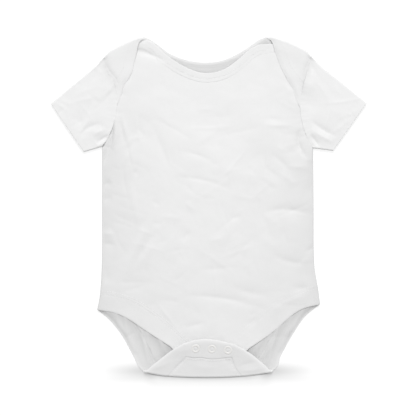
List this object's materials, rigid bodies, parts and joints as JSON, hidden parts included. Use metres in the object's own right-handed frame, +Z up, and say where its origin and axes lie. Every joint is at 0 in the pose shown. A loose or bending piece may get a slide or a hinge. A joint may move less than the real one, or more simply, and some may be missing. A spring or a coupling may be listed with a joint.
{
  "type": "baby bodysuit",
  "caption": "Short-sleeved baby bodysuit laid flat on its back, with lapped shoulders, bound neck and leg openings and a crotch flap that closes with ring snaps.",
  "frame": {"origin": "on the surface that the garment lies on, under the middle of the chest", "axes": "+X to the right of the laid-out garment as seen from above, +Y from its crotch to its neck, +Z up through its layers"},
  "size_m": [0.3476, 0.3749, 0.0104],
  "materials": {
    "jersey": "white cotton jersey, matt",
    "rib": "white cotton rib, doubled, matt",
    "enamel": "white enamel on brass, glossy"
  },
  "bodies": {
    "root": {"back_panel": "jersey", "front_panel": "jersey", "sleeve_left": "jersey", "sleeve_right": "jersey", "neck_band_back": "rib", "neck_band_front": "rib", "leg_band_back_left": "rib", "leg_band_back_right": "rib", "leg_band_front_left": "rib", "leg_band_front_right": "rib", "crotch_placket_back": "rib", "crotch_placket_front": "rib", "snap_ring_1": "enamel", "snap_ring_2": "enamel", "snap_ring_3": "enamel", "snap_socket_1": "enamel", "snap_socket_2": "enamel", "snap_socket_3": "enamel"}
  },
  "joints": []
}
